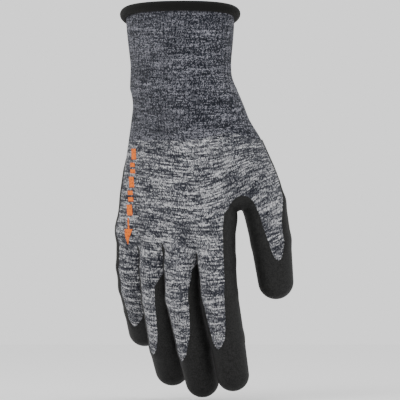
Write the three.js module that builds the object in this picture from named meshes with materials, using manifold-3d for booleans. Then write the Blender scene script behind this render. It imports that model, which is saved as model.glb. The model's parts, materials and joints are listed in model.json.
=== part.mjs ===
// A right-hand knitted work glove with a dipped palm, in the shape it has on a relaxed hand with the fingers down.
// Millimetres. X points to the thumb side, Y to the palm side and Z up the forearm.
// The origin is the middle of the cuff's mouth, where the forearm comes out.
//
// The knitted liner is one tube from the cuff to the fingertips. It is cut here at the creases, where it bends:
// each section is a hollow shell that begins in a round knuckle, nested in the end of the section before it.
// The dipped coating lies over the liner's palm side and fingertips as a second, thinner shell.

import * as THREE from "three";
import { mergeVertices } from "three/addons/utils/BufferGeometryUtils.js";
import Module from "manifold-3d";

const wasm = await Module();
wasm.setup();

// ---------------------------------------------------------------- driving dimensions

const KNIT = 1.8; // wall of the knitted liner
const COAT = 0.9; // thickness of the dipped coating
const GAP = 0.4; // clearance between sections, and between the liner and what lies on it
const NECK_STEP = 1.6; // how far a section's round neck lies under its outer face
const NECK_WALL = 1.2;
const NECK_ROOM = 1.1; // clearance round a neck in its seat
const NECK_ARC = { outer: [-42, 36], inner: [40, -48] }; // degrees that a finger's neck spans round its joint
const SWEEP_ROOM = COAT + 5 * GAP; // clearance from a finger's liner to what its neighbours wear
const SIDES = 10; // facets around a finger
const WIDE_SIDES = 16; // facets around the hand and cuff
const FAR = 150; // larger than any section, for cutting planes

// The hand is turned this far about Z, so that its thumb side comes forward.
const HAND_TURN = THREE.MathUtils.degToRad(30);
const LATERAL = new THREE.Vector3(Math.cos(HAND_TURN), -Math.sin(HAND_TURN), 0);
const PALMAR = new THREE.Vector3(Math.sin(HAND_TURN), Math.cos(HAND_TURN), 0);
const UP = new THREE.Vector3(0, 0, 1);

const CUFF = {
  mouth: [34.0, 23.6], // half width and half depth at the hem
  wrist: [31.6, 21.6], // the same at the wrist crease
  rim: [-0.045, -0.25, -1.6], // height of the mouth: per millimetre of X, per millimetre of Y, and at the origin
  hem: 2.9, // radius of the rolled edge
  hemOut: 1.4, // how far the rolled edge's middle stands outside the sleeve's wall
};
const SLEEVE = { top: 0.08, bottom: 1.3 }; // its ends, as shares of the way from the mouth to the wrist crease
const ELASTIC = { radius: 0.45, first: -9, step: -7, count: 4 };

// neck holds how far the hand's barrel at the wrist reaches below and above the joint.
const WRIST = { at: [0.6, 0, -45], half: 10, radius: 21.2, bend: [40, 55], neck: [9, 13] };

// Each digit's joints from its base to the middle of its rounded tip, with the liner's radius at each.
// turn is how far to the thumb side, in degrees, a digit points as it closes on the palm.
// bend holds, for each hinge, [how far it opens, how far it closes] from the shape given here.
const DIGITS = {
  index: {
    turn: 35,
    at: [[20.4, -10, -121.8], [21.9, -6.3, -148.2], [23.4, -3, -168], [28.2, 4, -194.7], [31.8, 11.5, -217]],
    radius: [11.6, 9.4, 9.6, 9.1, 8.5],
    bend: [[10, 30], [10, 62], [6, 37.2]],
  },
  middle: {
    turn: 34,
    at: [[3.6, -3, -120.6], [0.9, 3.4, -150.6], [1.8, 7.6, -170.4], [8.7, 18.5, -200.4], [13.4, 28.5, -221]],
    radius: [11.8, 9.5, 9.7, 9.6, 8.9],
    bend: [[10, 30], [10, 62], [6, 37.2]],
  },
  ring: {
    turn: 32,
    at: [[-12.6, 11, -126.6], [-14.1, 19.5, -154.2], [-12.3, 25.5, -171.6], [-7.8, 39.5, -199.6], [-3.4, 50, -214]],
    radius: [11.7, 9.3, 9.5, 9.4, 8.8],
    bend: [[10, 30], [10, 62], [6, 37.2]],
  },
  little: {
    turn: 29,
    at: [[-27.6, 24, -129.6], [-27.9, 36, -151.8], [-26.4, 44.5, -163.8], [-23.4, 61, -177.6], [-20.4, 71.5, -190]],
    radius: [11.3, 8.9, 8.7, 8.4, 7.9],
    bend: [[10, 30], [10, 62], [6, 37.2]],
  },
  thumb: {
    turn: -16,
    at: [[25.2, -5, -56], [50.4, -1.5, -114], [54.6, 2, -136], [57.6, 8, -160.8]],
    radius: [13.4, 12.1, 10.9, 9.4],
    bend: [[8, 30], [8, 50]],
  },
};
const FINGERS = ["index", "middle", "ring", "little"];
const FINGER_SECTIONS = ["proximal", "middle", "tip"];
const DRY = { share: 0.74, turn: 12 }; // on a finger's back the coating stops at this share of its radius
const KNUCKLE_BAR = 13.2; // radius of the liner across the knuckles
const KNUCKLE_NECK = [5, 8]; // how far the neck there reaches below and above the joint
const PALM_FOLD = [10, 40];
const THUMB_SWING = [12, 25];
const THUMB_TOP = -58; // the thumb's first section is cut from the hand between these heights
const THUMB_CROTCH = -112;
const COAT_TOP = -68; // the coating's upper edge on the palm
// How far to the palm side of its joints' line the coating begins on the hand, the thumb's base and the knuckles.
const COAT_EDGE = { hand: 2, thumb: 1, knuckles: -1 };

// A row of raised printed bars on the back, near the little finger's edge.
const PRINT = { thickness: 0.4, bar: [5.4, 5.4], first: -84, step: -8.4, count: 6, face: [-0.62, -0.78, 0] };

// ---------------------------------------------------------------- materials

const material = (color, roughness) => new THREE.MeshStandardMaterial({ color, roughness, metalness: 0 });
const MATERIALS = {
  knit: material(0x70717a, 0.95),
  cuff: material(0x53545c, 0.95),
  coat: material(0x26262a, 0.75),
  hem: material(0x1d1d1b, 0.9),
  elastic: material(0x2b2b2e, 0.8),
  print: material(0xf0843c, 0.6),
};

// ---------------------------------------------------------------- solids

const vec = (a) => new THREE.Vector3(...a);
const rad = THREE.MathUtils.degToRad;

/** A closed three.js geometry as a manifold-3d solid. */
function solid(geometry) {
  const bare = geometry.index ? geometry.toNonIndexed() : geometry.clone();
  bare.deleteAttribute("normal");
  bare.deleteAttribute("uv");
  const merged = mergeVertices(bare, 1e-4);
  return new wasm.Manifold(
    new wasm.Mesh({
      numProp: 3,
      vertProperties: new Float32Array(merged.attributes.position.array),
      triVerts: new Uint32Array(merged.index.array),
    }),
  );
}

/** A manifold-3d solid as a named mesh. */
function mesh(name, shape, look) {
  const made = shape.getMesh();
  const geometry = new THREE.BufferGeometry();
  geometry.setAttribute("position", new THREE.BufferAttribute(new Float32Array(made.vertProperties), 3));
  geometry.setIndex(new THREE.BufferAttribute(new Uint32Array(made.triVerts), 1));
  geometry.computeVertexNormals();
  const part = new THREE.Mesh(geometry, look);
  part.name = name;
  return part;
}

/** A skin over rings of points, closed into a loop, or else with a flat cap at each end. */
function skin(rings, loop = false) {
  const n = rings[0].length;
  const points = rings.flat();
  const faces = [];
  const spans = loop ? rings.length : rings.length - 1;
  for (let i = 0; i < spans; i++) {
    const a = i * n;
    const b = ((i + 1) % rings.length) * n;
    for (let j = 0; j < n; j++) {
      const k = (j + 1) % n;
      faces.push(a + j, a + k, b + k, a + j, b + k, b + j);
    }
  }
  if (!loop) {
    for (const [ring, flip] of [[0, true], [rings.length - 1, false]]) {
      const middle = new THREE.Vector3();
      rings[ring].forEach((p) => middle.add(p));
      points.push(middle.divideScalar(n));
      for (let j = 0; j < n; j++) {
        const [p, q] = [ring * n + j, ring * n + ((j + 1) % n)];
        faces.push(...(flip ? [q, p, points.length - 1] : [p, q, points.length - 1]));
      }
    }
  }
  const geometry = new THREE.BufferGeometry().setFromPoints(points);
  geometry.setIndex(faces);
  const made = solid(geometry);
  if (made.volume() > 0) return made;
  for (let i = 0; i < faces.length; i += 3) [faces[i], faces[i + 1]] = [faces[i + 1], faces[i]];
  geometry.setIndex(faces);
  return solid(geometry);
}

/** A profile of [radius, distance] pairs spun about the line that leaves a point in a direction. */
function spun(profile, from, along, sides = SIDES) {
  const points = profile.map(([radius, distance]) => new THREE.Vector2(radius, distance));
  const geometry = new THREE.LatheGeometry(points, sides);
  geometry.applyQuaternion(new THREE.Quaternion().setFromUnitVectors(new THREE.Vector3(0, 1, 0), along));
  geometry.translate(from.x, from.y, from.z);
  const made = solid(geometry);
  if (made.volume() > 0) return made;
  points.reverse();
  return spun(points.map((p) => [p.x, p.y]), from, along, sides);
}

/** Points on a quarter circle or less of a profile, between two angles from the axis' square. */
function arc(radius, middle, from, to, steps) {
  return Array.from({ length: steps + 1 }, (_, i) => {
    const a = rad(THREE.MathUtils.lerp(from, to, i / steps));
    return [Math.abs(a) === Math.PI / 2 ? 0 : radius * Math.cos(a), middle + radius * Math.sin(a)];
  });
}

/** A plain cone between two points, which runs on past its ends. */
function cone(from, fromRadius, to, toRadius, before = 0, after = 0) {
  const along = to.clone().sub(from);
  const length = along.length();
  const slope = (toRadius - fromRadius) / length;
  const [low, high] = [fromRadius - slope * before, toRadius + slope * after];
  const profile = [[0, -before], [low, -before], [high, length + after], [0, length + after]];
  return spun(profile, from, along.normalize());
}

/** A bar with round ends. */
function pill(from, to, radius) {
  const along = to.clone().sub(from);
  const length = along.length();
  const profile = [...arc(radius, 0, -90, 0, 3), ...arc(radius, length, 0, 90, 3)];
  return spun(profile, from, along.normalize(), WIDE_SIDES);
}

const ball = (at, radius, along) => spun(arc(radius, 0, -90, 90, 6), at, along);

/** Everything on the side of a plane that its normal points to. */
function beyond(point, normal) {
  const geometry = new THREE.BoxGeometry(2 * FAR, 2 * FAR, 2 * FAR);
  geometry.translate(0, 0, FAR);
  geometry.applyQuaternion(new THREE.Quaternion().setFromUnitVectors(UP, normal.clone().normalize()));
  geometry.translate(point.x, point.y, point.z);
  return solid(geometry);
}

/**
 * The room that a section leaves at a hinge, so that it can open and close by the bend's two angles.
 * side is 1 for the section that the hinge moves, which lies down from it, and -1 for the one that carries it.
 */
function roomAt(hinge, side, [opening, closing]) {
  const [front, back] = [[1, closing], [-1, opening]].map(([face, bend]) => {
    const slope = rad(bend) / 2;
    const normal = hinge.down.clone().multiplyScalar(-side * Math.cos(slope));
    normal.addScaledVector(hinge.palm, face * Math.sin(slope));
    return beyond(hinge.at.clone().addScaledVector(normal, -GAP / 2), normal);
  });
  return front.add(back);
}

const mitre = (shape, hinge, side, bend) => shape.subtract(roomAt(hinge, side, bend));

// ---------------------------------------------------------------- joints and bodies

const joints = [];
const bodies = {};
const glove = new THREE.Group();

function add(body, name, shape, look) {
  (bodies[body] ??= []).push(name);
  glove.add(mesh(name, shape, look));
}

function addHinge(name, parent, child, { at, axis }, [opening, closing]) {
  joints.push({ name, parent, child, at: at.toArray(), axis: axis.toArray(), range: [-opening, closing] });
}

/** The thumb's hinges are positive as it opens, so that it lies clear of the fingers when they close. */
function addOpening(name, parent, child, { at, axis }, [opening, closing]) {
  addHinge(name, parent, child, { at, axis: axis.clone().negate() }, [closing, opening]);
}

// ---------------------------------------------------------------- digits

/** A digit's joints with, at each, the direction to its palm side and the axis that it closes about. */
function chain(digit) {
  const { at, radius, turn } = DIGITS[digit];
  const face = new THREE.Vector3(Math.sin(rad(turn)), Math.cos(rad(turn)), 0);
  return at.map((point, i) => {
    const here = vec(point);
    const before = vec(at[Math.max(i - 1, 0)]);
    const after = vec(at[Math.min(i + 1, at.length - 1)]);
    const down = after.sub(before).normalize();
    const axis = new THREE.Vector3().crossVectors(down, face).normalize();
    const palm = new THREE.Vector3().crossVectors(axis, down).normalize();
    return { at: here, radius: radius[i], down, axis, palm };
  });
}

const towards = (a, b) => b.at.clone().sub(a.at).normalize();

/**
 * One section of a digit, from joint i to joint i + 1 of its chain, as the liner's shell and the coating on it.
 * bendHere and bendNext are the [opening, closing] of the hinges at its two ends. The fingertip has no bendNext.
 */
function section(links, i, bendHere, bendNext) {
  const [here, next] = [links[i], links[i + 1]];
  const down = towards(here, next);
  const form = (grow, past) =>
    bendNext
      ? cone(here.at, here.radius + grow, next.at, next.radius + grow, past, past)
      : fingertip(here, next, grow);
  const shell = (grow, wall) => {
    const outer = mitre(form(grow, 0), here, 1, bendHere);
    const ended = bendNext ? mitre(outer, next, -1, bendNext) : outer;
    return ended.subtract(form(grow - wall, 1));
  };
  const liner = shell(0, KNIT).add(neckAt(here, down));
  const coat = biggest(dryBack(shell(GAP + COAT, COAT), here, next));
  return { liner: bendNext ? seat(liner, next, down) : liner, coat };
}

/** The round neck that a section begins in, nested in the end of the section before it. */
function neckAt(here, down) {
  const outer = here.radius - NECK_STEP;
  const inner = outer - NECK_WALL;
  const profile = [...arc(outer, 0, ...NECK_ARC.outer, 2), ...arc(inner, 0, ...NECK_ARC.inner, 2)];
  profile.push(profile[0]);
  return spun(profile, here.at, down);
}

/** The end of a section, hollowed to take the next section's neck. */
const seat = (shape, next, down) => shape.subtract(ball(next.at, next.radius - NECK_STEP + NECK_ROOM, down));

/** A cone that ends in half a ball. */
function fingertip(here, next, grow) {
  const along = towards(here, next);
  const length = here.at.distanceTo(next.at);
  const profile = [[0, 0], [here.radius + grow, 0], ...arc(next.radius + grow, length, 8, 90, 4)];
  return spun(profile, here.at, along);
}

/** The coating without the strip along a digit's back that stays dry. */
function dryBack(coat, here, next) {
  const down = towards(here, next);
  const back = new THREE.Vector3(-Math.sin(rad(DRY.turn)), -Math.cos(rad(DRY.turn)), 0);
  back.addScaledVector(down, -back.dot(down)).normalize();
  const low = Math.min(here.radius, next.radius) * DRY.share;
  return coat.subtract(beyond(here.at.clone().addScaledVector(back, low), back));
}

function finger(name) {
  const chainOf = links[name];
  const { bend } = DIGITS[name];
  FINGER_SECTIONS.forEach((part, k) => {
    const i = k + 1;
    const { liner, coat } = section(chainOf, i, bend[k], bend[k + 1]);
    const body = `${name}_${part}`;
    add(body, `${body}_knit`, liner, MATERIALS.knit);
    add(body, `${body}_coat`, coat, MATERIALS.coat);
    const parent = k ? `${name}_${FINGER_SECTIONS[k - 1]}` : "knuckles";
    const joint = `${name}_${["root", "mid", "end"][k]}`;
    addHinge(joint, parent, body, chainOf[i], bend[k]);
  });
}

// ---------------------------------------------------------------- hand

/** A ring of points round two discs side by side, which is the hand's section at one height. */
function handRing(left, right, radius, sides = WIDE_SIDES) {
  const ring = [];
  const across = right.clone().sub(left).setZ(0).normalize();
  const deep = new THREE.Vector3(-across.y, across.x, 0);
  for (let j = 0; j < sides; j++) {
    const a = (2 * Math.PI * (j + 0.5)) / sides;
    const point = (Math.cos(a) > 0 ? right : left).clone();
    point.addScaledVector(across, radius * Math.cos(a));
    ring.push(point.addScaledVector(deep, radius * Math.sin(a)));
  }
  return ring;
}

const wristAt = vec(WRIST.at);
const wristLeft = wristAt.clone().addScaledVector(LATERAL, -WRIST.half);
const wristRight = wristAt.clone().addScaledVector(LATERAL, WRIST.half);
const links = Object.fromEntries(Object.keys(DIGITS).map((name) => [name, chain(name)]));
const barLeft = links.little[0].at;
const barRight = links.index[0].at;

/** The hand between the wrist and the knuckles, grown or shrunk. */
function handForm(grow) {
  const steps = 2;
  const rings = [];
  for (let i = 0; i <= steps; i++) {
    const t = i / steps;
    const radius = THREE.MathUtils.lerp(WRIST.radius, KNUCKLE_BAR, t);
    const left = wristLeft.clone().lerp(barLeft, t);
    const right = wristRight.clone().lerp(barRight, t);
    rings.push(handRing(left, right, radius + grow));
  }
  return skin(rings);
}

const wristBar = (grow) => pill(wristLeft, wristRight, WRIST.radius + grow);
const knuckleBar = (grow) => pill(barLeft, barRight, KNUCKLE_BAR - NECK_STEP + grow);

/** A hinge whose axis points to the thumb side, so that a positive turn closes towards the palm. */
function hingeAcross(at, axis, along) {
  const down = along.clone().addScaledVector(axis, -along.dot(axis)).normalize();
  return { at, axis, down, palm: new THREE.Vector3().crossVectors(axis, down) };
}

const handDown = links.middle[0].at.clone().sub(wristAt).normalize();
const wristHinge = hingeAcross(wristAt, LATERAL, UP.clone().negate());
const foldAxis = towards(links.little[0], links.index[0]);
const foldHinge = hingeAcross(barLeft.clone().lerp(barRight, 0.5), foldAxis, handDown);
const swingHinge = hingeAcross(links.thumb[0].at, UP, new THREE.Vector3(1, 0, 0));

const thumbBar = (grow) => {
  const [here, next] = links.thumb;
  return cone(here.at, here.radius + grow, next.at, next.radius + grow, 0, 1);
};

function hand() {
  const crotch = thumbBar(2 * GAP + COAT).subtract(above(THUMB_CROTCH));
  const band = above(THUMB_CROTCH - GAP).subtract(above(THUMB_TOP + GAP));
  const swing = roomAt(swingHinge, -1, THUMB_SWING).intersect(band);
  const shell = (outer, inner) => {
    const shape = mitre(outer, wristHinge, 1, WRIST.bend);
    return mitre(shape, foldHinge, -1, PALM_FOLD).subtract(inner).subtract(swing).subtract(crotch);
  };
  const barrel = neckOf(wristBar, wristHinge, WRIST.neck, -NECK_STEP);
  const liner = shell(handForm(0), handForm(-KNIT)).add(barrel).subtract(knuckleBar(NECK_ROOM));
  let coat = shell(handForm(GAP + COAT), handForm(GAP));
  coat = coat.subtract(backOf(wristAt, PALMAR, COAT_EDGE.hand)).subtract(above(COAT_TOP));
  add("hand", "hand_knit", biggest(liner), MATERIALS.knit);
  add("hand", "palm_coat", biggest(coat), MATERIALS.coat);
}

/** Everything above a height. */
const above = (z) => beyond(new THREE.Vector3(0, 0, z), UP);

/** Everything on the back's side of a plane square to the palm's direction, some way past a point. */
const backOf = (point, palm, past) => beyond(point.clone().addScaledVector(palm, past), palm.clone().negate());

/** The band of a round bar's shell that lies from some way below its hinge to some way above it. */
function neckOf(bar, hinge, [below, over], grow) {
  const low = beyond(hinge.at.clone().addScaledVector(hinge.down, below), hinge.down);
  const high = beyond(hinge.at.clone().addScaledVector(hinge.down, -over), hinge.down.clone().negate());
  return bar(grow).subtract(bar(grow - NECK_WALL)).subtract(low).subtract(high);
}

/** The largest separate body of a solid: cuts through thin shells can leave slivers. */
function biggest(shape) {
  return shape.decompose().sort((a, b) => b.volume() - a.volume())[0];
}

/** What a finger's first section sweeps between its two limits. */
function sweptBy(name) {
  const [, here, next] = links[name];
  const [opening, closing] = DIGITS[name].bend[0];
  const cones = [0, 1 / 3, 2 / 3, 1].map((share) => {
    const turned = rad(THREE.MathUtils.lerp(-opening, closing, share));
    const reach = next.at.clone().sub(here.at).applyAxisAngle(here.axis, turned);
    return cone(here.at, here.radius + SWEEP_ROOM, here.at.clone().add(reach), next.radius + SWEEP_ROOM);
  });
  return cones.reduce((sum, one) => sum.add(one));
}

function knuckles() {
  const stub = (name, grow, ended) => {
    const [before, here] = links[name];
    const shape = cone(before.at, before.radius + grow, here.at, here.radius + grow, 0, ended ? 0 : 2);
    return ended ? mitre(shape, here, -1, DIGITS[name].bend[0]) : shape;
  };
  const form = (grow, ended) => FINGERS.reduce((sum, name) => sum.add(stub(name, grow, ended)), knuckleBar(grow));
  const shell = (grow, wall) => mitre(form(grow, true), foldHinge, 1, PALM_FOLD).subtract(form(grow - wall, false));
  let liner = shell(0, KNIT).add(neckOf(knuckleBar, foldHinge, KNUCKLE_NECK, 0));
  for (const name of FINGERS) liner = seat(liner, links[name][1], towards(links[name][0], links[name][1]));
  let coat = shell(GAP + COAT, COAT).subtract(backOf(foldHinge.at, foldHinge.palm, COAT_EDGE.knuckles));
  for (const name of FINGERS) coat = coat.subtract(sweptBy(name));
  add("knuckles", "knuckle_knit", biggest(liner), MATERIALS.knit);
  add("knuckles", "knuckle_coat", biggest(coat), MATERIALS.coat);
}

// ---------------------------------------------------------------- thumb

function thumb() {
  const chainOf = links.thumb;
  const { bend } = DIGITS.thumb;
  const [here, next] = chainOf;
  const form = (grow) => {
    const side = handForm(grow).intersect(above(THUMB_CROTCH));
    return side.add(thumbBar(grow)).subtract(above(THUMB_TOP));
  };
  const ends = (shape) => mitre(mitre(shape, swingHinge, 1, THUMB_SWING), next, -1, bend[0]);
  const liner = seat(ends(form(0)), next, towards(here, next));
  let coat = ends(form(GAP + COAT)).subtract(handForm(GAP)).subtract(thumbBar(GAP));
  coat = coat.subtract(backOf(here.at, PALMAR, COAT_EDGE.thumb)).subtract(above(COAT_TOP));
  const hollow = handForm(-KNIT).add(thumbBar(-KNIT));
  add("thumb_base", "thumb_base_knit", biggest(liner.subtract(hollow)), MATERIALS.knit);
  add("thumb_base", "thumb_base_coat", biggest(coat), MATERIALS.coat);
  addOpening("thumb_base", "hand", "thumb_base", swingHinge, THUMB_SWING);
  ["proximal", "tip"].forEach((part, k) => {
    const { liner: knit, coat: skinOf } = section(chainOf, k + 1, bend[k], bend[k + 1]);
    const body = `thumb_${part}`;
    add(body, `${body}_knit`, knit, MATERIALS.knit);
    add(body, `${body}_coat`, skinOf, MATERIALS.coat);
    const parent = k ? "thumb_proximal" : "thumb_base";
    addOpening(`thumb_${["root", "end"][k]}`, parent, body, chainOf[k + 1], bend[k]);
  });
}

// ---------------------------------------------------------------- cuff

/** The cuff's oval at a share of the way from the mouth to the wrist. It tilts less as it goes down. */
function cuffRing(t, grow) {
  const wide = THREE.MathUtils.lerp(CUFF.mouth[0], CUFF.wrist[0], t) + grow;
  const deep = THREE.MathUtils.lerp(CUFF.mouth[1], CUFF.wrist[1], t) + grow;
  const middle = wristAt.clone().multiplyScalar(t);
  const ring = [];
  for (let j = 0; j < WIDE_SIDES; j++) {
    const a = (2 * Math.PI * (j + 0.5)) / WIDE_SIDES;
    const p = middle.clone().addScaledVector(LATERAL, wide * Math.cos(a)).addScaledVector(PALMAR, deep * Math.sin(a));
    p.z += (1 - t) * (CUFF.rim[0] * p.x + CUFF.rim[1] * p.y + CUFF.rim[2]);
    ring.push(p);
  }
  return ring;
}

/** The cuff's solid form between two shares of the way from the mouth to the wrist, grown or shrunk. */
function cuffForm(grow, top, bottom) {
  const shares = [0, 0.25, 0.5, 0.75, 1].map((share) => THREE.MathUtils.lerp(top, bottom, share));
  return skin(shares.map((t) => cuffRing(t, grow)));
}

function cuff() {
  const { top, bottom } = SLEEVE;
  let sleeve = mitre(cuffForm(0, top, bottom), wristHinge, -1, WRIST.bend);
  sleeve = sleeve.subtract(wristBar(NECK_ROOM - NECK_STEP)).subtract(cuffForm(-KNIT, top - 0.1, bottom + 0.1));
  add("cuff", "cuff_sleeve", biggest(sleeve), MATERIALS.cuff);
  add("cuff", "cuff_hem", loopOf(cuffRing(0, CUFF.hemOut), CUFF.hem, 8), MATERIALS.hem);
  for (let i = 0; i < ELASTIC.count; i++) {
    const t = (ELASTIC.first + i * ELASTIC.step) / WRIST.at[2];
    const grow = -KNIT - GAP - ELASTIC.radius;
    add("cuff", `cuff_elastic_${i + 1}`, loopOf(cuffRing(t, grow), ELASTIC.radius, 4), MATERIALS.elastic);
  }
}

/** A cord of round section along a closed ring of points. */
function loopOf(ring, radius, sides) {
  const n = ring.length;
  const rings = ring.map((point, j) => {
    const along = ring[(j + 1) % n].clone().sub(ring[(j - 1 + n) % n]).normalize();
    const out = new THREE.Vector3().crossVectors(along, UP).normalize();
    const high = new THREE.Vector3().crossVectors(out, along).normalize();
    return Array.from({ length: sides }, (_, k) => {
      const a = (2 * Math.PI * k) / sides;
      return point.clone().addScaledVector(out, radius * Math.cos(a)).addScaledVector(high, radius * Math.sin(a));
    });
  });
  return skin(rings, true);
}

// ---------------------------------------------------------------- print

/** Bars down the back of the hand, square to its side that faces out. */
function print() {
  const out = vec(PRINT.face).normalize();
  const place = (z) => {
    const t = (z - WRIST.at[2]) / (barLeft.z - WRIST.at[2]);
    const radius = THREE.MathUtils.lerp(WRIST.radius, KNUCKLE_BAR, t);
    const left = wristLeft.clone().lerp(barLeft, t);
    left.z = z;
    return left.addScaledVector(out, radius + GAP + PRINT.thickness);
  };
  const [wide, high] = PRINT.bar;
  for (let i = 0; i < PRINT.count; i++) {
    const at = place(PRINT.first + i * PRINT.step);
    const geometry = new THREE.BoxGeometry(wide, PRINT.thickness, high);
    geometry.rotateZ(Math.atan2(out.y, out.x) + Math.PI / 2);
    geometry.translate(at.x, at.y, at.z);
    add("hand", `print_bar_${i + 1}`, solid(geometry), MATERIALS.print);
  }
}

// ---------------------------------------------------------------- the glove

cuff();
hand();
addHinge("wrist", "cuff", "hand", wristHinge, WRIST.bend);
print();
knuckles();
addHinge("palm_fold", "hand", "knuckles", foldHinge, PALM_FOLD);
FINGERS.forEach(finger);
thumb();

glove.userData = { bodies, joints };

export default glove;
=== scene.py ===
"""The looks of a right-hand dipped work glove, built round its CAD frame.

The glove's skin is one closed form: tapered rods along each digit and across the hand, melted together. It
is meshed once and cut where the sections meet. The dipped coating is the same skin, thickened on the palm
side and the fingertips. Lengths are in millimetres, and each mesh is scaled to metres as it is made. Only
the materials, the lights, the floor and the camera are written in metres.
"""

import json
import math

import bpy
import numpy as np
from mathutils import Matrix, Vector


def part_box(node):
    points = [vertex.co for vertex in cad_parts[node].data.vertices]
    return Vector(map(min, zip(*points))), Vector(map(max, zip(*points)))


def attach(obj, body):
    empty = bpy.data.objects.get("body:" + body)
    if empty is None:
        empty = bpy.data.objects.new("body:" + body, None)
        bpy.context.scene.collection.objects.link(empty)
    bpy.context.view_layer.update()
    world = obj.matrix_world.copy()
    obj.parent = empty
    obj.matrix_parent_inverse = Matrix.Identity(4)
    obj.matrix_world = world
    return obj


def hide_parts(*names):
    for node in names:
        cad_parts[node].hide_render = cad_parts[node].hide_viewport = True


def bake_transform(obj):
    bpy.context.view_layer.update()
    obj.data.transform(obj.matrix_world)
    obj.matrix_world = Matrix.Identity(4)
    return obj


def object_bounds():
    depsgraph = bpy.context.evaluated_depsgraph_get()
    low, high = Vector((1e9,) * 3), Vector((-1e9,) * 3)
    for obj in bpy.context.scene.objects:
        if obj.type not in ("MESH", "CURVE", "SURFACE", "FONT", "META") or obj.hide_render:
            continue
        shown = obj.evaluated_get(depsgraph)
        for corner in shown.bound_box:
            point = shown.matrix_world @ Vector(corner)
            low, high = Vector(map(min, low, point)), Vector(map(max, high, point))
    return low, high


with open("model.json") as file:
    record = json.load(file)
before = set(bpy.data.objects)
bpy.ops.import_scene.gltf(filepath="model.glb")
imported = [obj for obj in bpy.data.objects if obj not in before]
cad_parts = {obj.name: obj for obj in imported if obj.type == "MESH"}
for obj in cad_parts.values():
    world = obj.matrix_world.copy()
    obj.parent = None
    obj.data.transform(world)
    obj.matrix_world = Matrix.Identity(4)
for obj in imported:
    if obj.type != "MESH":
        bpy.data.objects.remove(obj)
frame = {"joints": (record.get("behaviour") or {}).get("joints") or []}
SIZE_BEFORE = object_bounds()

MM = 0.001
STEP = 1.5  # spacing of the skin's mesh
WALL = 1.3  # thickness of the knitted liner
COAT = 0.75  # how far the dipped coating stands over the liner
COAT_EDGE = 1.6  # width over which the coating thins out to its edge
COAT_LIP = 0.01  # the thinning starts this far outside the edge, so that a little thickness is left there
LAP = 0.25  # how far the coating's underside lies in the liner

# ---------------------------------------------------------------- the hand inside the glove

HAND_TURN = math.radians(30)
LATERAL = np.array([math.cos(HAND_TURN), -math.sin(HAND_TURN), 0.0])
PALMAR = np.array([math.sin(HAND_TURN), math.cos(HAND_TURN), 0.0])
FINGERS = ["index", "middle", "ring", "little"]
JOINT = {j["name"]: np.array(j["pos_m"]) / MM for j in frame["joints"]}

# The knuckles' places on the row of the palm's fold, and the middles of the rounded fingertips.
BASE = {
    "index": [20.4, -10, -121.8],
    "middle": [3.6, -3, -120.6],
    "ring": [-12.6, 11, -126.6],
    "little": [-27.6, 24, -129.6],
    "thumb": [25.2, -5, -56],
}
TIP = {
    "index": [31.8, 11.5, -217],
    "middle": [13.4, 28.5, -221],
    "ring": [-4.9, 50, -214.4],
    "little": [-22.0, 71.5, -191.5],
    "thumb": [57.6, 8, -160.6],
}
RADIUS = {  # of the liner at the base, at each joint and at the tip
    "index": [12.2, 10.9, 10.6, 9.8, 9.1],
    "middle": [12.0, 10.3, 10.3, 10.2, 9.4],
    "ring": [12.0, 10.2, 10.5, 10.5, 9.7],
    "little": [10.2, 10.3, 10.6, 10.5, 9.2],
    "thumb": [11.8, 12.5, 11.5, 10.0],
}
WRIST = JOINT["wrist"]
WRIST_HALF = 10.0  # half the length of the wrist's bar between the middles of its round ends
WRIST_RADIUS = 18.6
CUFF_MOUTH = [35.0, 23.8]  # half width and half depth
CUFF_WRIST = [31.6, 21.4]
CUFF_SHRINK = [34.0, 24.0]  # what each half loses below the wrist, over a drop as long as the cuff
CUFF_LEAST = 2.0  # neither half gets smaller
CUFF_END = -72.0  # height at which the cuff's tube has ended inside the hand
RIM = [-0.07, -0.25, -2.5]  # the mouth's rise per millimetre along X and Y, and its height at the middle
RIM_CURL = 0.0021  # how the mouth's two ends curl up, per square millimetre from its middle
CROTCH = -121.0  # height of the crotch between the thumb and the index finger
FOLD = np.mean([BASE["index"], BASE["little"]], axis=0)


def unit(v):
    return np.asarray(v, float) / np.linalg.norm(v)


def smooth(t):
    t = np.clip(t, 0, 1)
    return t * t * (3 - 2 * t)


def ramp(x, low, high):
    return smooth((x - low) / (high - low))


def rim_height(p):
    """Height of the cuff's mouth over points."""
    return p[:, :2] @ RIM[:2] + RIM[2] + RIM_CURL * p[:, 0] ** 2


def chain_of(digit):
    ends = ["root", "mid", "end"] if digit != "thumb" else ["root", "end"]
    joints = [JOINT[f"{digit}_{end}"] for end in ends]
    return np.array([BASE[digit], *joints, TIP[digit]], float)


CHAIN = {digit: chain_of(digit) for digit in BASE}
FOLD_AXIS = unit(CHAIN["index"][0] - CHAIN["little"][0])
FOLD_DOWN = unit(np.cross(FOLD_AXIS, np.cross(CHAIN["middle"][0] - WRIST, FOLD_AXIS)))

# ---------------------------------------------------------------- the form

# Widths over which the form's parts melt together.
JOINT_MELT = 1.5
RAY_MELT = 4.0
CUFF_MELT = 9.0
WEBS_MELT = 6.0
PADS_MELT = 8.0
HEEL_MELT = 5.0
# Widths that grow up the hand: [width at the lower height, growth, lower height, upper height].
FINGERS_MELT = [1.0, 8.0, -151, -132]
WEB_MELT = [1.2, 6.0, CROTCH - 2, CROTCH + 20]
THUMB_MELT = [1.2, 9.0, CROTCH - 3, CROTCH + 22]

RAY_OVER = 0.4  # how much thicker than a finger's base the rod behind it ends
# The thumb's webs: [share of the way down the thumb's bone, the same down the index finger's, and the radius
# at the index finger's end and at the thumb's].
WEBS = [[0.45, 0.55, 9.65, 10.375], [0.65, 0.75, 9.05, 9.875], [0.82, 0.9, 8.54, 9.45]]
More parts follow.
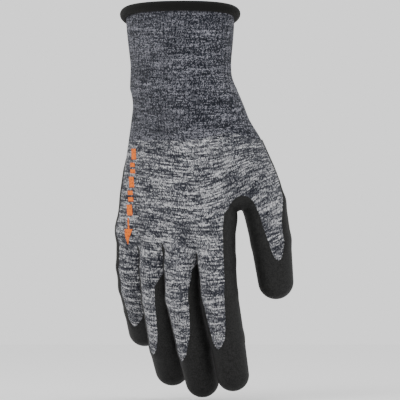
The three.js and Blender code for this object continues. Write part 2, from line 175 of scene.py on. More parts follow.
# Rods from the wrist to a digit: [place from the wrist, place from the digit's joint, radius at each end].
THUMB_PAD = [[10, 6, -16], [-12, 7, 18], 15.5, 11.5]
LITTLE_PAD = [[-9, 11, -22], [7, 1, 22], 13.6, 11.2]
THUMB_HEEL = [[8, -2, -8], [0, 0, -4], 12.5, 11.6]


def rod(p, a, b, ra, rb):
    """Distance to a rod with round ends whose radius changes from ra to rb."""
    d = b - a
    t = np.clip(((p - a) @ d) / (d @ d), 0, 1)
    return np.linalg.norm(p - a - t[:, None] * d, axis=1) - (ra + (rb - ra) * t)


def melt(a, b, k):
    """The union of two distances, with the valley between them filled over a width of k."""
    h = np.clip(0.5 + 0.5 * (b - a) / k, 0, 1)
    return b + (a - b) * h - k * h * (1 - h)


def melted(parts, k):
    found = parts[0]
    for part in parts[1:]:
        found = melt(found, part, k)
    return found


def growing(p, width):
    """A melting width that grows up the hand."""
    least, growth, low, high = width
    return least + growth * ramp(p[:, 2], low, high)


def digit_form(p, digit):
    chain, radius = CHAIN[digit], RADIUS[digit]
    rods = [rod(p, *chain[i : i + 2], *radius[i : i + 2]) for i in range(len(chain) - 1)]
    return melted(rods, JOINT_MELT)


def wrist_point(share):
    return WRIST + LATERAL * WRIST_HALF * (2 * share - 1)


def ray_form(p, i):
    """The hand's bone behind finger i, from the wrist to the finger's base."""
    share = 1 - i / 3
    digit = FINGERS[i]
    return rod(p, wrist_point(share), CHAIN[digit][0], WRIST_RADIUS, RADIUS[digit][0] + RAY_OVER)


def cuff_halves(share):
    """The cuff's half width and half depth, at a share of the way from its mouth to the wrist."""
    return [mouth + (wrist - mouth) * smooth(share) for mouth, wrist in zip(CUFF_MOUTH, CUFF_WRIST)]


def cuff_form(p):
    """The cuff's oval tube, which shrinks away inside the hand below the wrist."""
    t = p[:, 2] / WRIST[2]
    below = np.clip(t - 1, 0, None)
    middle = WRIST[None, :2] * np.clip(t, 0, 1)[:, None]
    flat = p[:, :2] - middle
    halves = zip(cuff_halves(t), CUFF_SHRINK)
    wide, deep = (np.maximum(half - shrink * below, CUFF_LEAST) for half, shrink in halves)
    u, v = flat @ LATERAL[:2], flat @ PALMAR[:2]
    f = np.sqrt((u / wide) ** 2 + (v / deep) ** 2) + 1e-9
    slope = np.sqrt((u / wide**2) ** 2 + (v / deep**2) ** 2) / f + 1e-6
    return np.maximum((f - 1) / np.maximum(slope, 1 / wide), CUFF_END - p[:, 2])


def fingers_form(p):
    """The hand and its four fingers, without the thumb."""
    fingers = [melt(digit_form(p, digit), ray_form(p, i), RAY_MELT) for i, digit in enumerate(FINGERS)]
    return melt(melted(fingers, growing(p, FINGERS_MELT)), cuff_form(p), CUFF_MELT)


def web_form(p):
    """The webs of the thumb, as thick rods from the index finger's bone to the thumb's."""
    base, knuckle = CHAIN["thumb"][:2]
    start = wrist_point(1.0)
    rods = []
    for share, reach, index_radius, thumb_radius in WEBS:
        a = start + (CHAIN["index"][0] - start) * reach
        b = base + (knuckle - base) * share
        rods.append(rod(p, a, b, index_radius, thumb_radius))
    return melted(rods, WEBS_MELT)


def heel_rod(p, shape, joint):
    """A rod from near the wrist to near one of a digit's joints."""
    near, far, wrist_radius, joint_radius = shape
    return rod(p, WRIST + near, joint + far, wrist_radius, joint_radius)


def pads_form(p):
    """The two pads at the heel of the palm."""
    thumb_side = heel_rod(p, THUMB_PAD, CHAIN["thumb"][1])
    little_side = heel_rod(p, LITTLE_PAD, CHAIN["little"][0])
    return np.minimum(thumb_side, little_side)


def form(p):
    """Distance to the liner's outer face, negative inside."""
    thumb = melt(digit_form(p, "thumb"), heel_rod(p, THUMB_HEEL, CHAIN["thumb"][0]), HEEL_MELT)
    hand = melt(fingers_form(p), pads_form(p), PADS_MELT)
    hand = melt(hand, web_form(p), growing(p, WEB_MELT))
    return melt(hand, thumb, growing(p, THUMB_MELT))


def slope_of(field, p, reach=0.25):
    """The outward normal of a field at points."""
    out = np.empty_like(p)
    for axis in range(3):
        step = np.zeros(3)
        step[axis] = reach
        out[:, axis] = field(p + step) - field(p - step)
    return out / (np.linalg.norm(out, axis=1)[:, None] + 1e-12)


# ---------------------------------------------------------------- the skin's mesh

RUN = 200_000  # points worked out at a time
EASE = 0.6  # how far a pass moves a vertex towards the middle of its neighbours


def grid_points(low, high, step):
    axes = [np.arange(low[i], high[i] + step, step) for i in range(3)]
    return axes, np.stack(np.meshgrid(*axes, indexing="ij"), axis=-1)


def sampled(field, low, high, step):
    """A field's values over a grid, worked out in runs of points that fit in memory."""
    axes, points = grid_points(low, high, step)
    shape = points.shape[:3]
    flat = points.reshape(-1, 3)
    values = np.empty(len(flat))
    for start in range(0, len(flat), RUN):
        values[start : start + RUN] = field(flat[start : start + RUN])
    return axes, values.reshape(shape)


def net(axes, values):
    """Four-sided faces over the surface where the values change sign."""
    inside = values < 0
    n = np.array(values.shape)
    cells = [slice(0, n[i] - 1) for i in range(3)]
    count = np.zeros(n - 1, int)
    total = np.zeros((*(n - 1), 3))
    for axis in range(3):
        others = [i for i in range(3) if i != axis]
        for a in (0, 1):
            for b in (0, 1):
                low = list(cells)
                low[others[0]] = slice(a, n[others[0]] - 1 + a)
                low[others[1]] = slice(b, n[others[1]] - 1 + b)
                high = list(low)
                high[axis] = slice(1, n[axis])
                v0, v1 = values[tuple(low)], values[tuple(high)]
                cross = (v0 < 0) != (v1 < 0)
                share = np.where(cross, v0 / np.where(cross, v0 - v1, 1), 0)
                count += cross
                total[..., axis] += share * cross
                total[..., others[0]] += a * cross
                total[..., others[1]] += b * cross
    active = count > 0
    index = -np.ones(n - 1, int)
    index[active] = np.arange(active.sum())
    where = np.argwhere(active)
    steps = np.array([axes[i][1] - axes[i][0] for i in range(3)])
    origin = np.array([axes[i][0] for i in range(3)])
    points = origin + (where + total[active] / count[active][:, None]) * steps
    faces = []
    for axis in range(3):
        others = [i for i in range(3) if i != axis]
        low = [slice(1, n[i] - 1) for i in range(3)]
        high = list(low)
        low[axis] = slice(0, n[axis] - 1)
        high[axis] = slice(1, n[axis])
        first, second = inside[tuple(low)], inside[tuple(high)]
        for flip in (False, True):
            at = np.argwhere((first & ~second) if not flip else (~first & second))
            base = at.copy()
            for o in others:
                base[:, o] += 1
            ring = []
            for a, b in ((0, 0), (1, 0), (1, 1), (0, 1)):
                cell = base.copy()
                cell[:, others[0]] -= 1 - a
                cell[:, others[1]] -= 1 - b
                ring.append(index[cell[:, 0], cell[:, 1], cell[:, 2]])
            quad = np.stack(ring, axis=1)
            turned = (axis == 1) != flip
            faces.append(quad[:, ::-1] if turned else quad)
    return points, np.concatenate(faces)


def relaxed(points, faces, field, passes):
    """The same mesh with its vertices spread evenly over the surface."""
    pairs = np.concatenate([faces[:, [i, (i + 1) % 4]] for i in range(4)])
    pairs = np.concatenate([pairs, pairs[:, ::-1]])
    count = np.bincount(pairs[:, 0], minlength=len(points))[:, None]
    for _ in range(passes):
        total = np.zeros_like(points)
        for axis in range(3):
            total[:, axis] = np.bincount(pairs[:, 0], points[pairs[:, 1], axis], len(points))
        points = points + EASE * (total / count - points)
        for _ in range(2):
            points = points - field(points)[:, None] * slope_of(field, points)
    return points


# ---------------------------------------------------------------- where a point is on the hand


def progress(p, digit):
    """How far along a digit a point is, in joints: 1 at its first joint, 2 at the next, and so on."""
    chain = CHAIN[digit]
    n = len(chain)
    normal = [unit(chain[min(i + 1, n - 1)] - chain[max(i - 1, 0)]) for i in range(n)]
    side = [(p - chain[i]) @ normal[i] for i in range(n)]
    out = side[0] / np.linalg.norm(chain[1] - chain[0])
    for i in range(n - 1):
        share = side[i] / np.maximum(side[i] - side[i + 1], 1e-6)
        out = np.where(side[i] >= 0, i + np.clip(share, 0, 1), out)
    return np.where(side[-1] > 0, n - 1 + side[-1] / RADIUS[digit][-1], out)


def past_fold(p):
    """Millimetres below the palm's fold."""
    return (p - FOLD) @ FOLD_DOWN


# ---------------------------------------------------------------- the coating's edge

# The strip along each digit's back that stays dry, as [joints along the digit, left edge, right edge], with
# the edges in degrees round the digit from straight back, positive to the thumb side.
DRY = {
    "index": [
        [0, -120, 24], [1.0, -100, 22], [1.6, -92, 21], [2.05, -76, 14], [2.6, -72, 4], [2.9, -62, -8],
        [3.05, -52, -22], [3.15, -40, -36],
    ],
    "middle": [
        [0, -120, 120], [0.8, -110, 95], [0.93, -100, 52], [1.03, -98, 36], [1.3, -95, 31], [1.7, -95, 18],
        [2.04, -95, 15], [2.6, -95, -4], [3.05, -94, -38], [3.2, -88, -58], [3.28, -78, -72],
    ],
    "ring": [
        [0, -120, 120], [0.7, -110, 95], [0.88, -95, 48], [0.97, -95, 17], [1.1, -95, 5], [1.36, -95, -13],
        [2.0, -95, -18], [2.64, -95, -28], [2.9, -92, -40], [3.05, -86, -54], [3.13, -78, -68],
    ],
    "little": [
        [0, -64, 120], [0.95, -64, 80], [1.05, -64, 22], [2.5, -64, 10], [3.0, -60, -10], [3.25, -52, -22],
        [3.4, -40, -34],
    ],
    "thumb": [
        [0, -95, 98], [0.75, -95, 92], [0.95, -88, 75], [1.05, -20, 62], [1.5, -16, 44], [2.0, -7, 40],
        [2.25, 0, 34], [2.4, 10, 24],
    ],
}
DRY_LIMIT = 86.0  # no dry strip reaches further round than this
DRY_END = 20.0  # millimetres that one joint along counts for, past a strip's end
FINGER_WRAP = 10.0  # millimetres of skin per radian round a finger
PAST_FOLD = 1.25  # how far the surface midway through the hand goes, where 1 is from the wrist to the fold
THUMB_TURN = 12.0  # how far to the thumb's side of the wrist's middle that surface starts to turn forward
THUMB_TURN_RISE = 15.0  # height over the thumb's crotch at which it turns in full
PALM_EDGE = 6.5  # how far towards the back the palm's coating reaches from the surface midway
PALM_SIDE = (10, 34)  # places across the hand between which that reach is lost on the thumb's side
PALM_LOW = (-118, -108)  # heights between which the loss sets in
LITTLE_EDGE = 1.5  # how much further the coating reaches on the little finger's side
LITTLE_SIDE = (0, -20)  # places across the hand between which that sets in
HEEL = -94.0  # height above which the edge draws back towards the palm
HEEL_LEAN = 0.5  # millimetres that it draws back, per millimetre of height
CUFF_EDGE = -69.0  # height of the coating's top on the palm
CUFF_EDGE_LEAN = 0.1  # how much it rises towards the thumb's side, on the thumb
EDGE_STEEP = 0.8  # how fast the field falls at that top
TO_FINGERS = (2, 12)  # millimetres past the fold over which the palm's edge turns into the fingers'
TO_THUMB = (3, 12)  # millimetres off the hand over which it turns into the thumb's
THUMB_LOW = (-60, -80)  # heights between which the thumb's edge sets in
ARCH = [37.5, -121.5]  # middle of the coated oval at the thumb's crotch, along X and Z
ARCH_HALF = [9.0, 12.5]
ARCH_STEEP = 10.0  # how far inside the coating the oval's middle counts as
ARCH_ACROSS = (22, 56)  # the oval shapes the edge only between these places along X
ARCH_LOW = -136  # and above this height


def around(p, digit):
    """Degrees round a digit from straight back, positive to the thumb side, and millimetres from its axis."""
    chain = CHAIN[digit]
    best = np.full(len(p), 1e9)
    angle = np.zeros(len(p))
    for i in range(len(chain) - 1):
        a, d = chain[i], chain[i + 1] - chain[i]
        t = np.clip(((p - a) @ d) / (d @ d), 0, 1)
        off = p - a - t[:, None] * d
        along = unit(d)
        off = off - (off @ along)[:, None] * along
        back = unit(np.array([0, -1, 0]) + along * along[1])
        side = np.cross(along, back)
        side = side if side[0] > 0 else -side
        distance = np.linalg.norm(p - a - t[:, None] * d, axis=1)
        here = np.degrees(np.arctan2(off @ side, off @ back))
        angle = np.where(distance < best, here, angle)
        best = np.minimum(best, distance)
    return angle, best


def nearest_finger(p):
    """Which of the four fingers each point is nearest to."""
    return np.argmin([around(p, digit)[1] for digit in FINGERS], axis=0)


def by_thumb(p):
    """Whether points are nearer the thumb than the index finger."""
    return around(p, "thumb")[1] < around(p, "index")[1]


def off_hand(p):
    """Millimetres from the four-fingered hand, growing down the thumb below the crotch."""
    return np.maximum(fingers_form(p), 0) + np.maximum(CROTCH - p[:, 2], 0) * by_thumb(p)


def digit_coat(p, digit):
    """Millimetres inside the coating on a digit."""
    reach, left, right = np.array(DRY[digit], float).T
    angle, _ = around(p, digit)
    here = progress(p, digit)
    low, high = np.interp(here, reach, left), np.interp(here, reach, right)
    middle, half = (low + high) / 2, (high - low) / 2
    turn = (angle - middle + 180) % 360 - 180
    sides = np.maximum(np.abs(turn) - half, np.abs(angle) - DRY_LIMIT)
    return np.maximum(np.radians(sides) * FINGER_WRAP, (here - reach[-1]) * DRY_END)


def hand_mid(p):
    """Millimetres to the palm's side of the surface midway between the hand's back and palm."""
    t = np.clip((p[:, 2] - WRIST[2]) / (FOLD[2] - WRIST[2]), 0, PAST_FOLD)
    middle = WRIST + t[:, None] * (FOLD - WRIST)
    across = LATERAL + np.clip(t, 0, 1)[:, None] * (FOLD_AXIS * [1, 1, 0] - LATERAL)
    across = across / np.linalg.norm(across, axis=1)[:, None]
    deep = np.stack([-across[:, 1], across[:, 0], 0 * t], axis=1)
    return np.sum((p - middle) * deep, axis=1)


def palm_mid(p):
    """The same, with the surface midway curved forward to pass through the thumb."""
    base, knuckle = CHAIN["thumb"][:2]
    t = np.clip((p[:, 2] - base[2]) / (knuckle[2] - base[2]), 0, 1)
    thumb = base + t[:, None] * (knuckle - base)
    thumb[:, 2] = p[:, 2]
    start = (WRIST + LATERAL * THUMB_TURN) @ LATERAL
    across = ramp(p @ LATERAL, start, thumb @ LATERAL)
    return hand_mid(p) - across * ramp(p[:, 2], CROTCH, CROTCH + THUMB_TURN_RISE) * hand_mid(thumb)


def coat_field(p):
    """Millimetres inside the coating's edge, negative where the liner is bare."""
    x, z, lateral = p[:, 0], p[:, 2], p @ LATERAL
    rise = np.maximum(z - HEEL, 0) * HEEL_LEAN
    radial = ramp(lateral, *PALM_SIDE) * ramp(z, *PALM_LOW)
    edge = PALM_EDGE * (1 - radial) + LITTLE_EDGE * ramp(lateral, *LITTLE_SIDE)
    palm = np.minimum(palm_mid(p) + edge - rise, (CUFF_EDGE - z) * EDGE_STEEP)
    fingers = np.choose(nearest_finger(p), [digit_coat(p, digit) for digit in FINGERS])
    share = ramp(past_fold(p), *TO_FINGERS)
    found = palm * (1 - share) + fingers * share
    share = ramp(fingers_form(p), *TO_THUMB) * ramp(z, *THUMB_LOW)
    thumb = np.minimum(digit_coat(p, "thumb"), (CUFF_EDGE - z + CUFF_EDGE_LEAN * x) * EDGE_STEEP)
    found = found * (1 - share) + thumb * share
    arch = 1 - np.hypot((x - ARCH[0]) / ARCH_HALF[0], (z - ARCH[1]) / ARCH_HALF[1])
    near = (x > ARCH_ACROSS[0]) & (x < ARCH_ACROSS[1]) & (z > ARCH_LOW)
    return np.where(near, np.maximum(found, arch * ARCH_STEEP), found)


# ---------------------------------------------------------------- weave coordinates

CUFF_WRAP = 30.0  # millimetres of skin per radian round the cuff
BACK_DEPTH = 12.0  # from the surface midway between back and palm to the back's face
SIDE_STRETCH = 0.8  # how much of that depth the rows gain where they go round the hand's sides
BACK_HALF = 15.0  # half width of the flat of the back
PAST_TIP = 20.0  # millimetres of knitting over a digit's round end
# Where one run of stitches passes into the next, as the two ends of the change.
HAND_WEAVE = (-66, -90)  # heights: from round the cuff to flat over the back
PALM_WEAVE = (-2, 6)  # depths from the surface midway: back to round, over the palm
PALM_WEAVE_SIDE = (30, 15)  # places across the hand: the palm's run is left out on the thumb's side
DOWN_WEAVE = (-28, -70)  # heights: from straight down to along the hand
THUMB_WEAVE = (8, 52)  # places across the hand: from along the hand to along the thumb
THUMB_WEAVE_LOW = (-60, -100)
FINGER_WEAVE = (4, 30)  # millimetres past the fold: from along the hand to along the fingers
FINGER_WEAVE_OFF = (4, 10)  # millimetres off the hand: the fingers' run ends, towards the thumb


def finger_weave(p, digit, down):
    """Millimetres round and along a finger, in step with the hand's knitting."""
    chain = CHAIN[digit]
    lengths = np.concatenate([[0], np.cumsum(np.linalg.norm(np.diff(chain, axis=0), axis=1))])
    lengths = np.append(lengths, lengths[-1] + PAST_TIP)
    run = np.interp(progress(p, digit), np.arange(len(lengths)), lengths)
    start = chain[0] - WRIST
    return np.stack([np.radians(around(p, digit)[0]) * FINGER_WRAP + start @ LATERAL, run + start @ down])


def weave(p):
    """Millimetres across and along the knitting: round a digit or the hand, and towards the fingertips."""
    down = unit(FOLD - WRIST)
    off = p - WRIST
    lateral, z = off @ LATERAL, p[:, 2]
    round_cuff = np.arctan2(lateral, -(off @ PALMAR)) * CUFF_WRAP
    depth = SIDE_STRETCH * (hand_mid(p) + BACK_DEPTH)
    round_hand = lateral + depth * np.clip(lateral / BACK_HALF, -1, 1)
    on_palm = ramp(hand_mid(p), *PALM_WEAVE) * ramp(lateral, *PALM_WEAVE_SIDE)
    on_hand = ramp(z, *HAND_WEAVE) * (1 - on_palm)
    u = round_cuff + (round_hand - round_cuff) * on_hand
    along = -off[:, 2] + (off @ down + off[:, 2]) * ramp(z, *DOWN_WEAVE)
    thumb_down = unit(CHAIN["thumb"][1] - CHAIN["thumb"][0])
    to_thumb = ramp(lateral, *THUMB_WEAVE) * ramp(z, *THUMB_WEAVE_LOW)
    v = along + (off @ thumb_down - along) * to_thumb
    fu, fv = np.choose(nearest_finger(p), [finger_weave(p, digit, down) for digit in FINGERS])
    share = ramp(past_fold(p), *FINGER_WEAVE) * (1 - ramp(off_hand(p), *FINGER_WEAVE_OFF))
    return np.stack([u + (fu - u) * share, v + (fv - v) * share], axis=1)


# ---------------------------------------------------------------- cutting and making pieces


def split(skin, values):
    """A skin's parts where the values are positive and where they are negative, cut along their border."""
    points, faces = skin
    cuts = {}
    added = []

    def cut(a, b):
        key = (a, b) if a < b else (b, a)
        if key not in cuts:
            i, j = key
            share = values[i] / (values[i] - values[j])
            cuts[key] = len(points) + len(added)
            added.append(points[i] + (points[j] - points[i]) * share)
        return cuts[key]

    sides = ([], [])
    for face in faces:
        signs = [values[v] >= 0 for v in face]
        if all(signs):
            sides[0].append(face)
        elif not any(signs):
            sides[1].append(face)
        else:
            for side, wanted in enumerate((True, False)):
                ring = []
                for i, v in enumerate(face):
                    w = face[(i + 1) % len(face)]
                    if (values[v] >= 0) == wanted:
                        ring.append(v)
                    if (values[v] >= 0) != (values[w] >= 0):
                        ring.append(cut(v, w))
                if len(ring) > 2:
                    sides[side].append(tuple(ring))
    whole = np.vstack([points, added]) if added else points
    return tuple(packed(whole, side) for side in sides)


def packed(points, faces):
    """A skin with only the points that its faces use."""
    used = sorted({v for face in faces for v in face})
    place = {v: i for i, v in enumerate(used)}
    return points[used], [tuple(place[v] for v in face) for face in faces]


def shell(name, skin, outer, inner, look):
    """A closed piece between two offsets of a skin along its normals, given in millimetres at each point.

    Its two sides shade with the skin's own normals, so that neighbouring pieces look like one, and its rim
    shades as it is.
    """
    points, faces = skin
    places, normals, weaves = points[:, :3], points[:, 3:6], points[:, 6:8]
    n = len(points)
    top = places + normals * outer[:, None]
    bottom = places - normals * inner[:, None]
    edges = dict.fromkeys((v, face[(i + 1) % len(face)]) for face in faces for i, v in enumerate(face))
    rim = [(b, a, a + n, b + n) for a, b in edges if (b, a) not in edges]
    below = [tuple(v + n for v in reversed(face)) for face in faces]
    mesh = bpy.data.meshes.new(name)
    mesh.from_pydata((np.vstack([top, bottom]) * MM).tolist(), [], [*faces, *below, *rim])
    mesh.update()
    mesh.shade_smooth()
    corners = np.empty(len(mesh.loops), int)
    mesh.loops.foreach_get("vertex_index", corners)
    lay_weave(mesh, np.vstack([weaves, weaves])[corners])
    sides = sum(len(face) for face in [*faces, *below])
    shade = np.vstack([normals, -normals])[corners]
    shade[sides:] = 0
    mesh.normals_split_custom_set(shade.tolist())
    return placed(name, mesh, look)


def lay_weave(mesh, uv):
    """The weave map of a mesh, given in millimetres at each corner."""
    mesh.uv_layers.new(name="weave").data.foreach_set("uv", (uv * MM).ravel())


def placed(name, mesh, look):
    """A piece of the glove from its mesh."""
    mesh.materials.append(look)
    piece = bpy.data.objects.new(name, mesh)
    bpy.context.scene.collection.objects.link(piece)
    return piece


def bends(piece, parent, child, start, end, share):
    """The piece's place is baked into its mesh and its eased share is worked out at each vertex, but nothing
    is done with it, so the piece doesn't bend. parent, child, start and end are not used.
    """
    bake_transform(piece)
    co = np.empty(len(piece.data.vertices) * 3)
    piece.data.vertices.foreach_get("co", co)
    weight = smooth(share(co.reshape(-1, 3) / MM))


# ---------------------------------------------------------------- materials


class Nodes:
    """Short calls for a material's node tree."""

    def __init__(self, name, roughness, specular=0.5, sheen=0.0):
        self.material = bpy.data.materials.new(name)
        self.material.use_nodes = True
        self.tree = self.material.node_tree
        self.shader = self.tree.nodes["Principled BSDF"]
        self.shader.inputs["Roughness"].default_value = roughness
        self.shader.inputs["Specular IOR Level"].default_value = specular
        self.shader.inputs["Sheen Weight"].default_value = sheen

    def put(self, socket, value):
        if isinstance(value, bpy.types.NodeSocket):
            self.tree.links.new(value, socket)
        else:
            socket.default_value = value

    def math(self, operation, a, b=0.0, c=None):
        node = self.tree.nodes.new("ShaderNodeMath")
        node.operation = operation
        self.put(node.inputs[0], a)
        self.put(node.inputs[1], b)
        if c is not None:
            self.put(node.inputs[2], c)
        return node.outputs[0]

    def times(self, a, b):
        return self.math("MULTIPLY", a, b)

    def swing(self, mix, value, middle, amount):
        """The mix moved by how far a value is over its middle, times an amount."""
        return self.math("MULTIPLY_ADD", self.math("SUBTRACT", value, middle), amount, mix)

    def wave(self, value):
        """The sine of a value that counts whole turns."""
        return self.math("SINE", self.times(value, 2 * math.pi))

    def vector(self, x, y, z=0.0):
        node = self.tree.nodes.new("ShaderNodeCombineXYZ")
        for socket, value in zip(node.inputs, (x, y, z)):
            self.put(socket, value)
        return node.outputs[0]

    def noise(self, vector, scale, detail=2.0, roughness=0.5):
        node = self.tree.nodes.new("ShaderNodeTexNoise")
        self.put(node.inputs["Vector"], vector)
        self.put(node.inputs["Scale"], scale)
        self.put(node.inputs["Detail"], detail)
        self.put(node.inputs["Roughness"], roughness)
        return node.outputs["Fac"]

    def speck(self, x, y):
        """A number of its own for each pair of whole numbers."""
        node = self.tree.nodes.new("ShaderNodeTexWhiteNoise")
        node.noise_dimensions = "2D"
        self.put(node.inputs["Vector"], self.vector(x, y))
        return node.outputs["Value"]

    def ramp(self, value, stops):
        """A colour for each value, from stops of (value, colour)."""
        stops = list(stops)
        node = self.tree.nodes.new("ShaderNodeValToRGB")
        self.put(node.inputs[0], value)
        elements = node.color_ramp.elements
        while len(elements) < len(stops):
            elements.new(0.5)
        for element, (place, colour) in zip(elements, stops):
            element.position = place
            element.color = (*colour, 1)
        return node.outputs[0]

    def bump(self, height, strength, distance):
        node = self.tree.nodes.new("ShaderNodeBump")
        self.put(node.inputs["Height"], height)
        node.inputs["Strength"].default_value = strength
        node.inputs["Distance"].default_value = distance
        self.tree.links.new(node.outputs[0], self.shader.inputs["Normal"])

    def weave(self):
        uv = self.tree.nodes.new("ShaderNodeUVMap")
        uv.uv_map = "weave"
        parts = self.tree.nodes.new("ShaderNodeSeparateXYZ")
        self.tree.links.new(uv.outputs[0], parts.inputs[0])
        return parts.outputs[0], parts.outputs[1]

    def colour(self, value):
        self.put(self.shader.inputs["Base Color"], value)


WALE = 0.00105  # width of a stitch
COURSE = 0.0007  # height of a row of stitches
ROW_DIP = 0.8  # how far a row dips at a stitch's middle, in rows per stitch's width
TIGHT = 1.3  # how much finer the cuff is knitted than the hand
RIB = 0.0032  # width of a rib in the cuff
LANE = 5.7  # distance in the noise from one row's strand to the next one's
STRAND = 105  # changes of shade per metre along a strand
YARN_STOPS = [0.30, 0.52, 0.82]  # where the mix is dark, middle and light
CUFF_YARN = [(0.003, 0.004, 0.008), (0.015, 0.017, 0.025), (0.25, 0.25, 0.285)]
LINER_YARN = [(0.006, 0.007, 0.013), (0.066, 0.068, 0.079), (0.56, 0.56, 0.575)]
FILM = [(0.38, (0.002, 0.002, 0.002)), (0.62, (0.014, 0.014, 0.0138))]
PRINT = [(0.34, (0.15, 0.03, 0.003)), (0.46, (0.57, 0.10, 0.0)), (0.7, (0.70, 0.15, 0.0))]


def stitches(nodes, u, v, tight=1.0):
    """Plain knitting: each stitch's column, its row, which dips like a V, and the height of the yarn."""
    column = nodes.times(u, tight / WALE)
    lean = nodes.math("ABSOLUTE", nodes.math("SUBTRACT", nodes.math("FRACT", column), 0.5))
    row = nodes.math("ADD", nodes.times(v, tight / COURSE), nodes.times(lean, ROW_DIP))
    rows = nodes.math("MULTIPLY_ADD", nodes.wave(row), 0.5, 0.5)
    legs = nodes.math("ABSOLUTE", nodes.wave(lean))
    return column, row, nodes.times(rows, legs)


def knit(name, yarn, streak, ribbed):
    """Heather yarn: each leg of a stitch has its own shade, on strands that stay light or dark for a way."""
    nodes = Nodes(name, roughness=0.92, specular=0.15, sheen=0.05)
    u, v = nodes.weave()
    column, row, height = stitches(nodes, u, v, TIGHT if ribbed else 1.0)
    leg = nodes.speck(nodes.math("FLOOR", nodes.times(column, 2.0)), nodes.math("FLOOR", row))
    lane = nodes.times(nodes.math("FLOOR", row), LANE)
    strand = nodes.noise(nodes.vector(nodes.times(u, STRAND), lane), 1.0, 1.5, 0.55)
    cloud = nodes.noise(nodes.vector(nodes.times(u, 28), nodes.times(v, 230)), 1.0, 2.0, 0.5)
    mix = nodes.swing(0.5, strand, 0.5, streak)
    mix = nodes.swing(mix, leg, 0.5, 0.9 - 0.5 * streak)
    mix = nodes.swing(mix, cloud, 0.5, 0.4)
    # painted shade: the yarn is coloured darker where it lies low between the stitches and lighter where it
    # stands high
    mix = nodes.swing(mix, height, 0.35, 0.16)
    if ribbed:
        wave = nodes.math("SINE", nodes.times(u, 2 * math.pi / RIB))
        # painted shade: the ribs' furrows are coloured a little darker than their ridges
        mix = nodes.math("MULTIPLY_ADD", wave, 0.03, mix)
        height = nodes.math("MULTIPLY_ADD", wave, 0.7, height)
    nodes.colour(nodes.ramp(mix, zip(YARN_STOPS, yarn)))
    nodes.bump(height, 0.8, 0.0004)
    return nodes.material


def coating():
    """Sandy matt film: fine grain over low lumps."""
    nodes = Nodes("nitrile", roughness=0.66, specular=0.16)
    place = nodes.tree.nodes.new("ShaderNodeTexCoord").outputs["Object"]
    grain = nodes.noise(place, 1500, 2.0, 0.6)
    lumps = nodes.noise(place, 420, 3.0, 0.55)
    height = nodes.math("ADD", nodes.times(grain, 0.6), nodes.times(lumps, 0.8))
    shade = nodes.math("MULTIPLY_ADD", grain, 0.7, nodes.times(lumps, 0.3))
    nodes.colour(nodes.ramp(shade, FILM))
    nodes.put(nodes.shader.inputs["Roughness"], nodes.math("MULTIPLY_ADD", lumps, 0.25, 0.5))
    nodes.bump(height, 0.55, 0.0003)
    return nodes.material


def thread(name, colour, pitch):
    """Wound thread: fine ridges across the piece's own length, which its weave coordinates give."""
    nodes = Nodes(name, roughness=0.85, specular=0.1, sheen=0.03)
    u, v = nodes.weave()
    lean = nodes.math("ADD", nodes.times(u, 1 / pitch), nodes.times(v, 0.45 / pitch))
    ridge = nodes.wave(lean)
    fuzz = nodes.noise(nodes.vector(nodes.times(u, 1500), nodes.times(v, 700)), 1.0, 2.0, 0.6)
    height = nodes.math("ADD", nodes.times(ridge, 0.5), fuzz)
    dark, light = (tuple(c * share for c in colour) for share in (0.6, 1.5))
    nodes.colour(nodes.ramp(fuzz, [(0.3, dark), (0.75, light)]))
    nodes.bump(height, 0.6, 0.0003)
    return nodes.material


def ink():
    """Transfer print over the stitches, worn through in specks."""
    nodes = Nodes("ink", roughness=0.6, specular=0.3)
    u, v = nodes.weave()
    _, _, height = stitches(nodes, u, v)
    worn = nodes.noise(nodes.vector(nodes.times(u, 700), nodes.times(v, 900)), 1.0, 2.0, 0.6)
    # painted shade: the print is coloured darker where the stitches under it lie low and lighter where they
    # stand high
    mix = nodes.math("ADD", worn, nodes.times(height, 0.12))
    nodes.colour(nodes.ramp(mix, PRINT))
    nodes.bump(height, 0.5, 0.0003)
    return nodes.material


LOOKS = {
    "cuff": knit("cuff_knit", CUFF_YARN, streak=0.75, ribbed=True),
    "liner": knit("liner_knit", LINER_YARN, streak=1.05, ribbed=False),
    "coat": coating(),
    "hem": thread("hem_thread", (0.004, 0.004, 0.0035), pitch=0.0011),
    "elastic": thread("elastic_thread", (0.03, 0.03, 0.032), pitch=0.0006),
    "ink": ink(),
}

# ---------------------------------------------------------------- the skin and its pieces

SKIN_BOX = [[-44.0, -34.0, -236.0], [72.0, 84.0, 12.0]]  # the skin is looked for in here
TUBE_TOP = 10.0  # height at which the cuff's tube is cut off before the mouth is shaped
TUBE_LIMIT = 11.0  # no vertex stays above this
RIM_OVER = 1.0  # how far the liner reaches into the rolled hem


def make_skin():
    """The whole glove's skin: at each point its place, its normal and its weave coordinates."""
    axes, values = sampled(form, *SKIN_BOX, STEP)
    points, faces = net(axes, np.maximum(values, axes[2] - TUBE_TOP))
    points = relaxed(points, faces, form, passes=3)
    points[:, 2] = np.minimum(points[:, 2], TUBE_LIMIT)
    faces = [tuple(face) for face in faces.tolist()]
    rim = rim_height(points) + RIM_OVER - points[:, 2]
    (kept, faces), _ = split((points, faces), rim)
    kept = kept - form(kept)[:, None] * slope_of(form, kept)
    return np.hstack([kept, slope_of(form, kept), weave(kept)]), faces


def xyz(skin):
    return skin[0][:, :3]


